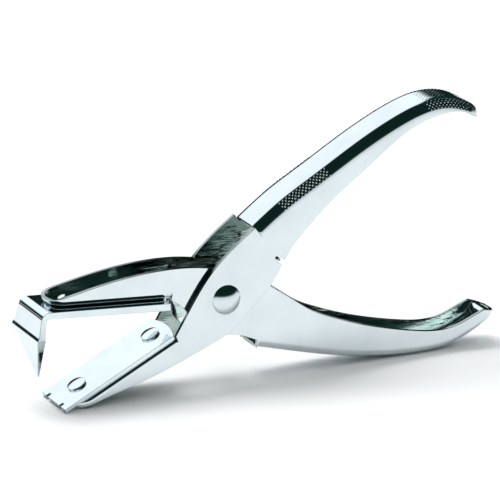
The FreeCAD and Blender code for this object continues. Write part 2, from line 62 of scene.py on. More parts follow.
# %% [markdown]
# The room, the finishes and the knurl below are all node trees. Each link could be written out
# on its own line, but a few small helpers keep the wiring short enough to read.

# %% Node helpers
def link_chain(tree, *sockets):
    """Joins sockets in pairs: from, to, from, to."""
    for source, target in zip(sockets[::2], sockets[1::2]):
        tree.links.new(source, target)


def ramp_node(tree, stops):
    node = tree.nodes.new("ShaderNodeValToRGB")
    elements = node.color_ramp.elements
    while len(elements) < len(stops):
        elements.new(0.5)
    for element, (position, colour) in zip(elements, stops):
        element.position = position
        element.color = colour
    return node


def grey(value):
    return (value, value, value, 1.0)


def math_node(tree, operation, a=None, b=None, clamp=False):
    node = tree.nodes.new("ShaderNodeMath")
    node.operation = operation
    node.use_clamp = clamp
    for socket, value in zip(node.inputs, (a, b)):
        if isinstance(value, (int, float)):
            socket.default_value = value
        elif value is not None:
            tree.links.new(value, socket)
    return node.outputs[0]


def blend_colours(tree, share, first, second):
    mix = tree.nodes.new("ShaderNodeMix")
    mix.data_type = "RGBA"
    # With colours, the inputs 6 and 7 are A and B, and the output 2 is the result.
    tree.links.new(share, mix.inputs[0])
    for socket, colour in ((mix.inputs[6], first), (mix.inputs[7], second)):
        if isinstance(colour, tuple):
            socket.default_value = colour
        else:
            tree.links.new(colour, socket)
    return mix.outputs[2]


print("a mid grey for a node:", grey(0.5))

# %% [markdown]
# Mirror plating shows nothing of its own, only what stands round it. So the room is designed
# first: a white floor and a white wall behind the tool make its flats bright, and a dark room
# above and behind the camera draws the dark bands along its bends. The world is a shader on the
# view direction, because a painted sky needs no geometry and no picture.

# %% Room
WALL_WHITE = (1.22, 1.27, 1.30, 1.0)
ROOM_DARK = (0.006, 0.020, 0.016, 1.0)
CARD_DARK = (0.010, 0.034, 0.034, 1.0)
WALL_LEAN, WALL_EDGE = -0.30, (0.0, 0.12)
CARD_TURN, CARD_EDGE, CARD_BACK = 0.50, (-0.05, 0.06), (0.0, 0.2)
FOOT_EDGE, FOOT_BACK = (0.36, 0.43), (0.3, 0.45)
SWEEP_EDGE, SWEEP_BACK = (0.02, 0.26), (-0.2, 0.0)


def make_room():
    world = bpy.data.worlds.new("studio")
    bpy.context.scene.world = world
    world.use_nodes = True
    tree = world.node_tree
    tree.nodes.clear()
    direction = tree.nodes.new("ShaderNodeTexCoord").outputs["Generated"]
    split = tree.nodes.new("ShaderNodeSeparateXYZ")
    tree.links.new(direction, split.inputs[0])
    right, back, up = split.outputs

    def level(value, low, high):
        """0 to 1 as the value goes from low to high."""
        lifted = math_node(tree, "SUBTRACT", value, low)
        return math_node(tree, "DIVIDE", lifted, high - low, clamp=True)

    # The wall stands behind the tool and leans over it.
    reach = math_node(tree, "ADD", back, math_node(tree, "MULTIPLY", up, WALL_LEAN))
    room = blend_colours(tree, level(reach, *WALL_EDGE), ROOM_DARK, WALL_WHITE)
    # A dark card stands to the right of the wall, and a soft edge joins the two.
    turned = math_node(tree, "SUBTRACT", right, math_node(tree, "MULTIPLY", back, CARD_TURN))
    beside = math_node(tree, "MULTIPLY", level(turned, *CARD_EDGE), level(back, *CARD_BACK))
    room = blend_colours(tree, beside, room, CARD_DARK)
    # The wall has a dark foot, which outlines every edge that turns away from the camera.
    foot = math_node(tree, "SUBTRACT", 1.0, level(up, *FOOT_EDGE))
    foot = math_node(tree, "MULTIPLY", foot, level(back, *FOOT_BACK))
    room = blend_colours(tree, foot, room, ROOM_DARK)
    # In front, the air just above the floor is bright, which fades the bends into the walls.
    low = math_node(tree, "SUBTRACT", 1.0, level(up, *SWEEP_EDGE))
    front = math_node(tree, "SUBTRACT", 1.0, level(back, *SWEEP_BACK))
    glow = math_node(tree, "MULTIPLY", math_node(tree, "MULTIPLY", low, low), front)
    room = blend_colours(tree, glow, room, WALL_WHITE)
    background = tree.nodes.new("ShaderNodeBackground")
    output = tree.nodes.new("ShaderNodeOutputWorld")
    link_chain(tree, room, background.inputs[0], background.outputs[0], output.inputs[0])


make_room()
print("world:", bpy.context.scene.world.name)

# %% [markdown]
# The tool lies on white paper. A small plane would do for the picture, but the plating mirrors the
# floor on every side, so it is large. It ends a short way behind the tool, where the wall's dark
# foot takes over in the mirrored edges, and it lies a hair under the lowest curve.

# %% Floor
FLOOR_WHITE, FLOOR_ROUGHNESS = (0.93, 0.93, 0.93, 1.0), 0.9
FLOOR_SIZE, FLOOR_BACK, FLOOR_LEVEL = 8.0, 0.60, -0.25 * MM


def make_floor():
    bpy.ops.mesh.primitive_plane_add(size=FLOOR_SIZE)
    floor = bpy.context.object
    floor.name = "floor"
    floor.location = (0, FLOOR_BACK - FLOOR_SIZE / 2, FLOOR_LEVEL)
    material = bpy.data.materials.new("floor_paper")
    material.use_nodes = True
    shader = material.node_tree.nodes["Principled BSDF"]
    shader.inputs["Base Color"].default_value = FLOOR_WHITE
    shader.inputs["Roughness"].default_value = FLOOR_ROUGHNESS
    floor.data.materials.append(material)


make_floor()
print("floor ends", FLOOR_BACK, "m behind the tool")

# %% [markdown]
# Two square lamps make the soft shadow. The plating would mirror them as hard squares, so they are
# hidden from glossy rays, and only the paper and the room are seen in the metal.

# %% Lamps
def soft_light(name, towards, distance, width, power):
    """A square lamp that lights the floor but isn't mirrored by the plating."""
    lamp = bpy.data.lights.new(name, "AREA")
    lamp.shape = "SQUARE"
    lamp.size = width
    lamp.energy = power
    holder = bpy.data.objects.new(name, lamp)
    bpy.context.scene.collection.objects.link(holder)
    place = Vector(towards).normalized() * distance
    holder.location = place
    holder.rotation_euler = place.to_track_quat("Z", "Y").to_euler()
    holder.visible_glossy = False
    return holder


soft_light("key", towards=(-0.25, 0.26, 1.0), distance=1.6, width=0.85, power=19.0)
soft_light("fill", towards=(0.3, -0.3, 1.0), distance=2.4, width=3.0, power=36.0)
bpy.context.scene.view_settings.view_transform = "Standard"
print("lamps:", [light.name for light in bpy.data.lights])

# %% [markdown]
# The camera stands well back with a long lens, so the levers stay nearly parallel, as in a
# catalogue picture. Its place is given by angles about the tool, not by typed coordinates.

# %% Camera
CAMERA_SIDE = 28.3
CAMERA_RISE = 19.4
CAMERA_ROLL = 2.0
CAMERA_DISTANCE = 1500 * MM
LENS, SENSOR, SEES_TO = 347.8, 36.0, 50.0
AIM = PIVOT + Vector((8.02, -6.88, 15.10)) * MM


def make_camera():
    side, rise = math.radians(CAMERA_SIDE), math.radians(CAMERA_RISE)
    back = Vector((-math.sin(side) * math.cos(rise), -math.cos(side) * math.cos(rise), math.sin(rise)))
    camera = bpy.data.objects.new("camera", bpy.data.cameras.new("camera"))
    bpy.context.scene.collection.objects.link(camera)
    camera.data.lens = LENS
    camera.data.sensor_width = SENSOR
    camera.data.clip_end = SEES_TO
    turn = back.to_track_quat("Z", "Y").to_matrix().to_4x4()
    roll = Matrix.Rotation(math.radians(CAMERA_ROLL), 4, "Z")
    camera.matrix_world = Matrix.Translation(AIM + back * CAMERA_DISTANCE) @ turn @ roll
    bpy.context.scene.camera = camera


make_camera()

# %% [markdown]
# Every finish here is metal, so the effects that they share are one node group: faint clouding
# left by polishing, fine hairlines along the tool, and the slight ripple of pressed sheet. The
# group gives masks and heights only, and each material mixes them in its own strength.

# %% Surface effects
CLOUD_SCALE, LINE_SCALE, RIPPLE_SCALE = 90.0, 500.0, 45.0
LINE_STRETCH = (0.05, 1.0, 1.0)


def group_socket(group, name, direction, kind, value=None):
    socket = group.interface.new_socket(name=name, in_out=direction, socket_type=kind)
    if value is not None:
        socket.default_value = value


def noise_node(tree, vector, scale, detail):
    node = tree.nodes.new("ShaderNodeTexNoise")
    node.inputs["Detail"].default_value = detail
    tree.links.new(vector, node.inputs["Vector"])
    if isinstance(scale, (int, float)):
        node.inputs["Scale"].default_value = scale
    else:
        tree.links.new(scale, node.inputs["Scale"])
    return node.outputs[0]


def make_surface_group():
    group = bpy.data.node_groups.new("worked_metal", "ShaderNodeTree")
    group_socket(group, "Vector", "INPUT", "NodeSocketVector")
    group_socket(group, "Cloud Scale", "INPUT", "NodeSocketFloat", CLOUD_SCALE)
    group_socket(group, "Line Scale", "INPUT", "NodeSocketFloat", LINE_SCALE)
    group_socket(group, "Clouds", "OUTPUT", "NodeSocketFloat")
    group_socket(group, "Hairlines", "OUTPUT", "NodeSocketFloat")
    group_socket(group, "Ripple", "OUTPUT", "NodeSocketFloat")
    start = group.nodes.new("NodeGroupInput")
    end = group.nodes.new("NodeGroupOutput")
    vector = start.outputs["Vector"]
    clouds = noise_node(group, vector, start.outputs["Cloud Scale"], 4.0)
    stretch = group.nodes.new("ShaderNodeMapping")
    stretch.inputs["Scale"].default_value = LINE_STRETCH
    group.links.new(vector, stretch.inputs["Vector"])
    lines = noise_node(group, stretch.outputs[0], start.outputs["Line Scale"], 3.0)
    ripple = noise_node(group, vector, RIPPLE_SCALE, 1.0)
    link_chain(group, clouds, end.inputs["Clouds"], lines, end.inputs["Hairlines"],
               ripple, end.inputs["Ripple"])
    return group


SURFACE = make_surface_group()
print("effects:", [item.name for item in SURFACE.interface.items_tree if item.in_out == "OUTPUT"])

# %% [markdown]
# Each metal is one call: two tones, how rough it is, and how deep its hairlines and ripples are. On a
# real tool the polishing wheel doesn't reach the insides of the channels, so those get a wavier
# finish of their own. Their tones are painted: darker in the outer lever as painted shade, and
# brighter than the outside chrome in the inner lever as painted light. Sheared rims and bare steel
# are duller than the plated faces, and the dull rim metal is also painted shade on the anvil's buttons.

# %% Metals
CLOUDS_FROM, TINT_TO, GLOSS_TO = 0.35, 0.75, 0.80


def metal(name, colour, darker, roughness, clouding, line_depth, ripple_depth):
    """A plated or bare metal: colour to darker in its clouds, its roughness rising with them."""
    material = bpy.data.materials.new(name)
    material.use_nodes = True
    tree = material.node_tree
    shader = tree.nodes["Principled BSDF"]
    shader.inputs["Metallic"].default_value = 1.0
    surface = tree.nodes.new("ShaderNodeGroup")
    surface.node_tree = SURFACE
    tree.links.new(tree.nodes.new("ShaderNodeTexCoord").outputs["Object"], surface.inputs["Vector"])
    tint = ramp_node(tree, [(CLOUDS_FROM, colour), (TINT_TO, darker)])
    gloss = ramp_node(tree, [(CLOUDS_FROM, grey(roughness)), (GLOSS_TO, grey(roughness + clouding))])
    link_chain(tree, surface.outputs["Clouds"], tint.inputs[0], surface.outputs["Clouds"], gloss.inputs[0],
               tint.outputs[0], shader.inputs["Base Color"], gloss.outputs[0], shader.inputs["Roughness"])
    lines = tree.nodes.new("ShaderNodeBump")
    lines.inputs["Strength"].default_value = 1.0
    lines.inputs["Distance"].default_value = line_depth
    ripple = tree.nodes.new("ShaderNodeBump")
    ripple.inputs["Strength"].default_value = 1.0
    ripple.inputs["Distance"].default_value = ripple_depth
    link_chain(tree, surface.outputs["Hairlines"], lines.inputs["Height"],
               surface.outputs["Ripple"], ripple.inputs["Height"],
               lines.outputs[0], ripple.inputs["Normal"], ripple.outputs[0], shader.inputs["Normal"])
    return material


CHROME = metal("mirror_chrome", (0.71, 0.775, 0.805, 1.0), (0.63, 0.70, 0.725, 1.0), 0.03, 0.06,
               1.5e-7, 1.6e-5)
# The channel insides are one wavy plating in two tones: painted shade in the outer lever, painted light in
# the inner one.
PAINTED_SHADE_INSIDE = metal("wavy_inner_plating_painted_shade", (0.42, 0.50, 0.48, 1.0), (0.22, 0.30, 0.28, 1.0), 0.05, 0.08,
               2.2e-4, 5.0e-4)
PAINTED_LIGHT_INSIDE = metal("wavy_inner_plating_painted_light", (0.86, 0.94, 0.92, 1.0), (0.50, 0.60, 0.57, 1.0), 0.04, 0.08,
                      2.0e-4, 9.0e-4)
PLATE = metal("plate_chrome", (0.72, 0.795, 0.83, 1.0), (0.64, 0.72, 0.765, 1.0), 0.05, 0.07, 2.5e-7, 6e-6)
# Dull metal for sheared rims; on the anvil's buttons it is painted shade on the steep side of the head.
DULL_RIM_AND_SHADE = metal("dull_rim_and_painted_shade", (0.40, 0.44, 0.44, 1.0), (0.24, 0.28, 0.28, 1.0), 0.14, 0.12, 6e-7, 4e-6)
SLEEVE = metal("turned_steel", (0.56, 0.56, 0.55, 1.0), (0.42, 0.42, 0.42, 1.0), 0.28, 0.15, 8e-7, 2e-6)
SPRING = metal("spring_steel", (0.33, 0.33, 0.34, 1.0), (0.22, 0.22, 0.23, 1.0), 0.22, 0.12, 6e-7, 2e-6)
print("finishes:", [m.name for m in (CHROME, PAINTED_SHADE_INSIDE, PAINTED_LIGHT_INSIDE, PLATE, DULL_RIM_AND_SHADE, SLEEVE, SPRING)])

# %% [markdown]
# The levers are pressed from 1.2 mm sheet. Seen from the side, each is a set of smooth lines:
# the outside of its back, the free edge of its walls and the edges of its flat cheeks. The lines
# are the same as in the CAD model, in millimetres from the pivot, and a cubic curve joins each.

# %% Smooth lines
SHEET = 1.2
ANVIL_REAR = (-18.6, -9.1)
ANVIL_TILT = 27.3
ANVIL_THICK = 1.2
CLAW_REAR = (-20.0, -0.4)
CLAW_TILT = 3.8
CLAW_THICK = 2.2


def smooth_line(points, step=0.8):
    """Points along the natural cubic curve through the given ones."""
    knots = np.array(points, float)
    spans = np.hypot(*np.diff(knots, axis=0).T)
    count = len(knots)
    matrix = np.eye(count)
    right = np.zeros((count, 2))
    for i in range(1, count - 1):
        matrix[i, i - 1:i + 2] = spans[i - 1], 2 * (spans[i - 1] + spans[i]), spans[i]
        right[i] = 6 * ((knots[i + 1] - knots[i]) / spans[i] - (knots[i] - knots[i - 1]) / spans[i - 1])
    bending = np.linalg.solve(matrix, right)
    line = [knots[0]]
    for i, span in enumerate(spans):
        steps = max(1, math.ceil(span / step))
        for k in range(1, steps + 1):
            b = k / steps
            a = 1 - b
            curved = (a ** 3 - a) * bending[i] + (b ** 3 - b) * bending[i + 1]
            line.append(a * knots[i] + b * knots[i + 1] + curved * span ** 2 / 6)
    return np.array(line)


def jaw_line(x):
    """Height of the lower jaw's web: the anvil plate lies on it."""
    tilt = math.radians(ANVIL_TILT)
    return ANVIL_REAR[1] - ANVIL_THICK / math.cos(tilt) + (x - ANVIL_REAR[0]) * math.tan(tilt)


def strip_line(x):
    """Height of the upper jaw's web: it lies on the claw's strip."""
    tilt = math.radians(CLAW_TILT)
    return CLAW_REAR[1] + CLAW_THICK / math.cos(tilt) - (x - CLAW_REAR[0]) * math.tan(tilt)


print("the claw's strip lies", round(strip_line(CLAW_REAR[0]), 2), "mm above the pivot at its rear")

# %% [markdown]
# Both levers are told by the same few lines, so one function can build either. back is the outside
# of the handle's web, edge the free edge of its walls, front and rear the cheek between handle and
# jaw, and the last numbers are widths, bend radii and the pivot's hole.

# %% Lever outlines
OUTER = {
    "back": [(9.3, 22.3), (18.6, 29.3), (29.8, 36.1), (46.3, 45.9), (57.4, 51.6), (66.4, 55.1),
             (73.3, 56.4), (79.0, 56.0), (85.0, 53.9), (92.0, 49.6)],
    "edge": [(22.5, 14.4), (29.6, 21.9), (39.4, 30.6), (47.7, 36.8), (55.9, 43.1), (61.4, 46.9),
             (67.0, 49.6), (72.7, 51.2), (78.4, 52.0), (84.0, 51.0), (88.5, 48.4), (92.5, 45.5)],
    "front": [(9.3, 22.3), (-2.5, 12.6), (-9.4, 3.8), (-14.0, -4.0), (-17.3, jaw_line(-17.3))],
    "jaw_web": [(-17.3, jaw_line(-17.3)), (-53.0, jaw_line(-53.0))],
    "jaw_edge": [(1.6, -11.3), (-13.5, -17.7), (-29.3, -23.3), (-38.3, -25.9), (-49.5, -29.2)],
    "jaw_tail": (-60.0, -29.2), "handle_tail": (110.0, 45.5),
    "rear": (15.5, 2.4), "split": (-9.4, 3.8), "front_start": [], "notched": -1,
    "width": 15.2, "bend": 4.0, "jaw_bend": 2.6, "corner": 7.2, "hole": 2.5, "handle_out": 1, "jaw_out": -1}
INNER = {
    "back": [(12.3, -18.7), (28.6, -22.9), (44.6, -26.5), (55.3, -28.2), (64.0, -29.0), (71.5, -29.2),
             (79.6, -28.8), (87.7, -26.6), (95.6, -22.6), (101.2, -19.0)],
    "edge": [(16.5, 1.6), (26.0, -4.9), (31.2, -8.4), (37.6, -11.4), (50.5, -16.1), (59.5, -18.6),
             (70.0, -20.9), (79.0, -21.9), (84.6, -21.2), (90.0, -19.2), (94.8, -17.2)],
    "front": [(12.3, -15.8), (3.0, -12.6), (-7.0, -11.6), (-10.6, -9.0), (-11.3, -6.0),
              (-12.7, -3.0), (-18.3, strip_line(-18.3))],
    "jaw_web": [(-18.3, strip_line(-18.3)), (-59.8, strip_line(-59.8))],
    "jaw_edge": [(-4.6, 10.4), (-10.0, 11.3), (-18.0, 11.9), (-26.0, 11.8), (-35.0, 11.0), (-44.0, 9.6),
                 (-52.0, 8.0), (-59.8, 6.4)],
    "jaw_tail": (-70.0, 6.4), "handle_tail": (103.0, -19.6),
    "rear": (4.0, 8.8), "split": (-7.0, -11.6), "front_start": [(12.3, -18.7)], "notched": 0,
    "width": 11.6, "bend": 3.0, "jaw_bend": 2.6, "corner": 5.4, "hole": 2.56, "handle_out": -1, "jaw_out": 1}
NOTCH = {"bottom": (17.6, 11.2), "half": 0.85, "turn": -37.0}
print("handle lengths:", [round(float(abs(shape["back"][-1][0] - shape["back"][0][0])), 1)
                          for shape in (OUTER, INNER)])

# %% [markdown]
# A channel is made of stations along its web. At each one the section goes up the wall, round
# the bend and across the web to the middle. Towards the closed end the plan narrows as a circle,
# so the same section, moved along that circle, wraps the sheet round the nose. This grid gives
# clean reflections, which a mesh cut with booleans doesn't.

# %% Web line
BEND_STEPS = 12
WALL_STEPS = 4
WEB_STEPS = 4
STATION_GAP = 0.9
NOSE_STEPS = 14
WEB_SAMPLES, NORMAL_REACH = 240, 0.6


class Web:
    """The line along the outside of a channel's web, its outward side and how deep its walls go."""

    def __init__(self, line, outward, edge, bend=0.0):
        self.line = np.array(line, float)
        self.bend = bend
        self.outward = outward
        spans = np.hypot(*np.diff(self.line, axis=0).T)
        self.distances = np.concatenate([[0], np.cumsum(spans)])
        self.length = self.distances[-1]
        self.stops = np.linspace(0, self.length, WEB_SAMPLES)
        self.depths = [self.measure(s, edge) for s in self.stops]

    def point(self, s):
        return np.array([np.interp(s, self.distances, self.line[:, k]) for k in (0, 1)])

    def normal(self, s):
        ahead = self.point(min(s + NORMAL_REACH, self.length))
        behind = self.point(max(s - NORMAL_REACH, 0))
        along = (ahead - behind) / np.hypot(*(ahead - behind))
        return np.array([-along[1], along[0]]) * self.outward

    def measure(self, s, edge):
        """How far it is from the web's outside straight inwards to the free edge, 0 if it is past it."""
        start, way = self.point(s), -self.normal(s)
        depths = []
        for a, b in zip(edge, edge[1:]):
            side, gap = b - a, a - start
            cross = way[0] * side[1] - way[1] * side[0]
            if abs(cross) > 1e-9:
                out = (gap[0] * side[1] - gap[1] * side[0]) / cross
                part = (gap[0] * way[1] - gap[1] * way[0]) / cross
                if out > 0 and -1e-6 <= part <= 1 + 1e-6:
                    depths.append(out)
        return min(depths, default=0.0)

    def depth(self, s):
        return float(np.interp(s, self.stops, self.depths))


UPPER_WEB = Web(smooth_line(OUTER["back"]), OUTER["handle_out"], np.array(OUTER["edge"]))
print("the upper handle's web is", round(float(UPPER_WEB.length), 1), "mm long")

# %% [markdown]
# A sheet bent round a corner keeps its thickness, so its inside follows a smaller arc round the same
# centre. A modifier could guess the inside from the faces, but it makes spikes in tight corners.
# Here each outside vertex stores its own inside place instead.

# %% Bent sheet
def around_bend(bend, distance, skin=0.0):
    """(inset, drop) at a distance from the web, round the bend and then down the wall, and at a
    depth below the outside."""
    quarter = bend * math.pi / 2
    if distance > quarter:
        return skin, bend + distance - quarter
    angle = math.pi / 2 - distance / bend
    return bend - (bend - skin) * math.cos(angle), bend - (bend - skin) * math.sin(angle)


def vertex(mesh, x, y, z):
    return mesh.verts.new(PIVOT + Vector((x, y, z)) * MM)


def sheet_vertex(mesh, outside, inside):
    """A vertex of the sheet's outside that remembers where the inside lies behind it."""
    made = vertex(mesh, *outside)
    made[mesh.verts.layers.float_vector["inside"]] = PIVOT + Vector(inside) * MM
    return made


print("half way round a 4 mm bend:", [round(v, 3) for v in around_bend(4.0, math.pi)])

# %% [markdown]
# A station is one column of vertices: from the free edge up the wall, round the bend and across the
# web to the middle. Where the wall has run out, the walk round the bend stops at the free edge.

# %% Stations
WALK_STEP = 0.02


def station(mesh, web, s, turn, shape, side, with_wall):
    """A column from the free edge to the middle. turn is 0 on the side and 90 at the nose's middle."""
    bend, corner, half = web.bend, shape["corner"], shape["width"] / 2
    swing = math.radians(turn)

    def plan(inset):
        if turn == 0:
            return s, half - inset
        reach = corner - inset
        return web.length - corner + reach * math.sin(swing), half - corner + reach * math.cos(swing)

    def place(distance, skin, share=1.0):
        inset, drop = around_bend(bend, distance, skin)
        at, across = plan(inset)
        x, z = web.point(at) - web.normal(at) * drop
        return x, side * across * share, z

    quarter = bend * math.pi / 2
    last = quarter
    if with_wall:
        last = 0.0
        inset, drop = around_bend(bend, last)
        while drop < web.depth(plan(inset)[0]):
            last += WALK_STEP
            inset, drop = around_bend(bend, last)
    turned = min(last, quarter)
    distances = [last + (turned - last) * k / WALL_STEPS for k in range(WALL_STEPS)] if with_wall else []
    distances += [turned * (1 - k / BEND_STEPS) for k in range(BEND_STEPS + 1)]
    column = []
    for distance in distances:
        column.append(sheet_vertex(mesh, place(distance, 0.0), place(distance, SHEET)))
    for k in range(1, WEB_STEPS + 1):
        share = 1 - k / WEB_STEPS
        column.append(sheet_vertex(mesh, place(0.0, 0.0, share), place(0.0, SHEET, share)))
    return column


def join_columns(mesh, first, second):
    """Quads between two columns, counted from the web, where both have vertices."""
    rows = min(len(first), len(second))
    for k in range(1, rows):
        mesh.faces.new((first[-k], second[-k], second[-k - 1], first[-k - 1]))


print("a full column has", WALL_STEPS + BEND_STEPS + 1 + WEB_STEPS, "vertices")

# %% [markdown]
# The columns are joined into quads, first along the straight part and then round the nose. The
# function hands back the line where the flat cheek will be joined on.

# %% Channel
def channel(mesh, web, shape, side, wall_from):
    """Half of a channel. Returns the bend line up to wall_from, then the wall down to its free edge."""
    straight = web.length - shape["corner"]
    before = math.ceil(wall_from / STATION_GAP)
    after = math.ceil((straight - wall_from) / STATION_GAP)
    stops = [wall_from * k / before for k in range(before)]
    stops += [wall_from + (straight - wall_from) * k / after for k in range(after + 1)]
    columns = [station(mesh, web, s, 0, shape, side, i >= before) for i, s in enumerate(stops)]
    for k in range(1, NOSE_STEPS + 1):
        columns.append(station(mesh, web, 0, 90 * k / NOSE_STEPS, shape, side, True))
    inside = mesh.verts.layers.float_vector["inside"]
    middle = []
    for beside in columns[-1]:
        flat, below = (beside.co - PIVOT) / MM, (Vector(beside[inside]) - PIVOT) / MM
        middle.append(sheet_vertex(mesh, (flat.x, 0, flat.z), (below.x, 0, below.z)))
    columns.append(middle)
    for first, second in zip(columns, columns[1:]):
        join_columns(mesh, first, second)
    bend_row = WEB_STEPS + BEND_STEPS + 1
    bend_line = [column[-bend_row] for column in columns[:before + 1]]
    return bend_line + columns[before][:WALL_STEPS][::-1]


print("stations are at most", STATION_GAP, "mm apart")

# %% [markdown]
# Between handle and jaw a lever has no web, only two flat cheeks. Each cheek is one flat face
# cut in two through the pivot's hole, and it shares its corners with the channels, so the whole
# wall is one plane and mirrors as one.

# %% Cheeks
START_SAMPLES, NOTCH_STEPS, HOLE_STEPS = 600, 9, 25


def wall_start(web, corner):
    """The place along the web whose wall line passes through the corner of the cheek."""
    stops = np.linspace(0, web.length / 2, START_SAMPLES)
    misses = []
    for s in stops:
        normal = web.normal(s)
        along = np.array([normal[1], -normal[0]])
        misses.append(abs(np.dot(np.array(corner) - web.point(s), along)))
    return float(stops[int(np.argmin(misses))])


def arc_points(centre, radius, start, end, steps):
    angles = np.radians(np.linspace(start, end, steps))
    return [(centre[0] + radius * math.cos(a), centre[1] + radius * math.sin(a)) for a in angles]


def notch_points(first, second):
    """The spring's notch, cut into the straight edge from first to second."""
    turn = NOTCH["turn"]
    way = np.array([math.cos(math.radians(turn)), math.sin(math.radians(turn))])
    edge = np.array(second) - np.array(first)
    arc = arc_points(NOTCH["bottom"], NOTCH["half"], turn + 90, turn + 270, NOTCH_STEPS)
    mouth = []
    for corner in (arc[0], arc[-1]):
        gap = np.array(first) - np.array(corner)
        cross = way[0] * edge[1] - way[1] * edge[0]
        out = (gap[0] * edge[1] - gap[1] * edge[0]) / cross
        mouth.append(tuple(np.array(corner) + way * out))
    return [mouth[0]] + arc + [mouth[1]]


def cheek(mesh, shape, side, handle, jaw, front, rear_edge, jaw_edge):
    """The flat wall between two channels, as two faces that meet along a line through the hole."""
    y = side * shape["width"] / 2

    def corners(points):
        return [sheet_vertex(mesh, (x, y, z), (x, y - side * SHEET, z)) for x, z in points]

    split = int(np.argmin(np.hypot(*(np.array(front) - np.array(shape["split"])).T)))
    rear, middle = corners([shape["rear"], front[split]])
    rear_angle = math.degrees(math.atan2(shape["rear"][1], shape["rear"][0]))
    front_angle = math.degrees(math.atan2(front[split][1], front[split][0])) % 360
    ends = (front_angle, front_angle - 360)
    handle_end, jaw_end = ends if shape["handle_out"] > 0 else ends[::-1]
    handle_arc = corners(arc_points((0, 0), shape["hole"], rear_angle, handle_end, HOLE_STEPS))
    jaw_arc = corners(arc_points((0, 0), shape["hole"], rear_angle, jaw_end, HOLE_STEPS))
    mesh.faces.new(handle + corners(rear_edge) + [rear] + handle_arc + [middle]
                   + corners(front[:split][::-1]))
    mesh.faces.new(jaw + corners(jaw_edge) + [rear] + jaw_arc + [middle] + corners(front[split + 1:]))


print("the pivot hole has", 2 * HOLE_STEPS - 2, "sides")

# %% [markdown]
# The sheet gets its inside from the places stored in its vertices, and its free edges are closed. Then
# every sharp edge is marked for easing. Tiny faces get less of it, or the bevel would shoot past
# them.

# %% Sheet thickness
EDGE_ROUND, EASE_SHARE = 0.14 * MM, 0.35
SHARP = math.radians(38)


def thickened(mesh):
    """Adds the inside of the sheet and closes its free edges with the rim's material."""
    inside = mesh.verts.layers.float_vector["inside"]
    faces, free = list(mesh.faces), [edge for edge in mesh.edges if edge.is_boundary]
    twin = {corner: mesh.verts.new(corner[inside]) for corner in list(mesh.verts)}
    for face in faces:
        mesh.faces.new([twin[corner] for corner in reversed(face.verts)]).material_index = 2
    for edge in free:
        loop = edge.link_loops[0]
        first, second = loop.vert, loop.link_loop_next.vert
        mesh.faces.new((second, first, twin[first], twin[second])).material_index = 1
    mesh.verts.layers.float_vector.remove(inside)


def weigh_edges(mesh):
    """Marks the sharp edges to be eased, less where the faces beside them are small."""
    weights = mesh.edges.layers.float.new("bevel_weight_edge")
    mesh.normal_update()
    for edge in mesh.edges:
        if edge.calc_face_angle(0.0) > SHARP:
            shortest = min(side.calc_length() for face in edge.link_faces for side in face.edges)
            edge[weights] = min(1.0, EASE_SHARE * shortest / EDGE_ROUND)


print("edges are eased by", EDGE_ROUND / MM, "mm")

# %% [markdown]
# A lever is two channels and two cheeks, made as one mesh. The pieces share corner places, so merging
# vertices a few hundredths apart makes one closed sheet of them.

# %% Lever sheet
MERGE_GAP, FOOT_GAP = 0.02 * MM, 0.3


def lever_sheet(shape):
    """A lever as one bent sheet of even thickness."""
    mesh = bmesh.new()
    mesh.verts.layers.float_vector.new("inside")
    edge, jaw_edge = smooth_line(shape["edge"]), smooth_line(shape["jaw_edge"])
    handle_edge = np.vstack([shape["rear"], edge, shape["handle_tail"]])
    handle = Web(smooth_line(shape["back"]), shape["handle_out"], handle_edge, shape["bend"])
    jaw_edges = np.vstack([jaw_edge, shape["jaw_tail"]])
    jaw = Web(shape["jaw_web"], shape["jaw_out"], jaw_edges, shape["jaw_bend"])
    wall_from = wall_start(handle, shape["edge"][0]) if shape["notched"] else 0.0
    front = [tuple(point) for point in smooth_line(shape["front"])]
    for side in (-1, 1):
        handle_rim = channel(mesh, handle, shape, side, wall_from)
        jaw_rim = channel(mesh, jaw, shape, side, 0.0)
        foot_x = (jaw_rim[-1].co - PIVOT).x / MM
        below = [tuple(point) for point in jaw_edge if point[0] > foot_x + FOOT_GAP][::-1]
        rear_edge = [shape["edge"][0]]
        if shape["notched"] == side:
            rear_edge += notch_points(shape["edge"][0], shape["rear"])
        cheek(mesh, shape, side, handle_rim, jaw_rim, shape["front_start"] + front, rear_edge, below)
    bmesh.ops.remove_doubles(mesh, verts=mesh.verts, dist=MERGE_GAP)
    bmesh.ops.dissolve_degenerate(mesh, edges=mesh.edges, dist=MERGE_GAP / 2)
    bmesh.ops.recalc_face_normals(mesh, faces=mesh.faces)
    biggest = max(mesh.faces, key=lambda face: face.calc_area())
    if biggest.normal.y * biggest.calc_center_median().y < 0:
        bmesh.ops.reverse_faces(mesh, faces=mesh.faces)
    thickened(mesh)
    weigh_edges(mesh)
    return mesh


print("corners closer than", MERGE_GAP / MM, "mm become one")

# %% [markdown]
# Modifiers are quick to try, but the finished piece has to be a plain mesh. So the mesh goes into a
# draft object with its modifiers, the result is copied into the real piece, and the draft goes.

# %% Making a piece
def finished(name, mesh, materials, body, replaced, modifiers):
    """Runs modifiers on a mesh, keeps the result as a plain piece and rides it on its body."""
    data = bpy.data.meshes.new(name)
    mesh.to_mesh(data)
    mesh.free()
    draft = bpy.data.objects.new(name + "_draft", data)
    bpy.context.scene.collection.objects.link(draft)
    for material in materials:
        data.materials.append(material)
    for polygon in data.polygons:
        polygon.use_smooth = True
    for kind, values in modifiers:
        modifier = draft.modifiers.new(kind, kind)
        for key, value in values.items():
            setattr(modifier, key, value)
    return plain_piece(draft, name, body, replaced)


